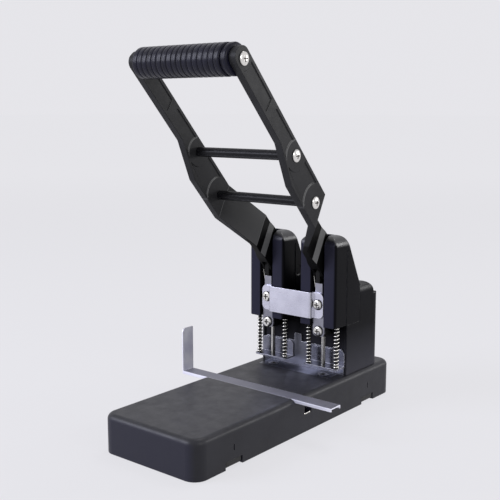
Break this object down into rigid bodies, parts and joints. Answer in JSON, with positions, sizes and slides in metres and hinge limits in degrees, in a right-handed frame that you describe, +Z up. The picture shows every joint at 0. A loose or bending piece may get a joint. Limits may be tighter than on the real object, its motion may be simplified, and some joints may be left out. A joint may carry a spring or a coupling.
{
  "type": "heavy duty hole punch",
  "caption": "Heavy duty paper punch: a long-armed lever drives sprung rams and hollow punches down through a paper throat on a flat base with a sliding side stop.",
  "frame": {"origin": "middle of the underside of the base, on the rubber pads, halfway between the two punches", "axes": "+X to the right along the row of holes, +Y to the back away from the user, +Z up"},
  "size_m": [0.23, 0.39, 0.447],
  "materials": {
    "black_plastic": "satin",
    "black_casting": "satin",
    "grip_rubber": "satin",
    "pad_rubber": "matte",
    "bright_sheet": "satin",
    "guide_aluminium": "satin",
    "tool_steel": "satin",
    "spring_steel": "polished",
    "bright_screw": "polished",
    "bush_brass": "satin"
  },
  "bodies": {
    "frame_body": {"base": "black_plastic", "lock_strip": "bright_sheet", "die_plate": "tool_steel", "left_die": "tool_steel", "right_die": "tool_steel", "housing": "black_casting", "back_plate": "bright_sheet", "left_throat_plate": "bright_sheet", "right_throat_plate": "bright_sheet", "left_tower": "black_casting", "right_tower": "black_casting", "left_outer_post": "tool_steel", "left_inner_post": "tool_steel", "right_inner_post": "tool_steel", "right_outer_post": "tool_steel", "left_outer_spring": "spring_steel", "left_inner_spring": "spring_steel", "right_inner_spring": "spring_steel", "right_outer_spring": "spring_steel", "left_pivot_pin": "tool_steel", "right_pivot_pin": "tool_steel", "left_front_bolt": "tool_steel", "right_front_bolt": "tool_steel", "left_rear_bolt": "tool_steel", "right_rear_bolt": "tool_steel"},
    "lever_body": {"left_arm": "black_casting", "right_arm": "black_casting", "left_bush": "bush_brass", "right_bush": "bush_brass", "left_drive_pin": "tool_steel", "right_drive_pin": "tool_steel", "upper_crossbar": "black_casting", "lower_crossbar": "black_casting", "grip_core": "tool_steel", "grip_sleeve": "grip_rubber", "left_grip_screw": "bright_screw", "right_grip_screw": "bright_screw", "left_upper_screw": "bright_screw", "right_upper_screw": "bright_screw", "left_lower_screw": "bright_screw", "right_lower_screw": "bright_screw"},
    "ram_body": {"left_ram": "black_casting", "right_ram": "black_casting", "left_ram_face": "bright_sheet", "right_ram_face": "bright_sheet", "left_punch": "tool_steel", "right_punch": "tool_steel", "ram_bridge": "bright_sheet", "left_bridge_screw": "bright_screw", "right_bridge_screw": "bright_screw", "left_clamp_screw": "bright_screw", "right_clamp_screw": "bright_screw"},
    "guide_body": {"paper_guide": "guide_aluminium"},
    "cover_body": {"bottom_cover": "black_plastic", "front_pad": "pad_rubber", "centre_pad": "pad_rubber", "rear_pad": "pad_rubber"}
  },
  "joints": [
    {"name": "lever_hinge", "type": "hinge", "parent": "frame_body", "child": "lever_body", "pos_m": [0, 0.096, 0.1719], "axis": [1, 0, 0], "range_deg": [0, 35.84], "stiffness_Nm_per_rad": 5, "springref_deg": -57.3},
    {"name": "ram_slide", "type": "slide", "parent": "frame_body", "child": "ram_body", "axis": [0, 0, -1], "range_m": [0, 0.016], "deforming": ["left_outer_spring", "left_inner_spring", "right_inner_spring", "right_outer_spring"]},
    {"name": "guide_slide", "type": "slide", "parent": "frame_body", "child": "guide_body", "axis": [1, 0, 0], "range_m": [-0.03, 0.02]},
    {"name": "cover_drop", "type": "slide", "parent": "frame_body", "child": "cover_body", "axis": [0, 0, -1], "range_m": [0, 0.03]}
  ],
  "couplings": [
    {"joint": "ram_slide", "follows": "lever_hinge", "m_per_rad": 0.025578}
  ]
}
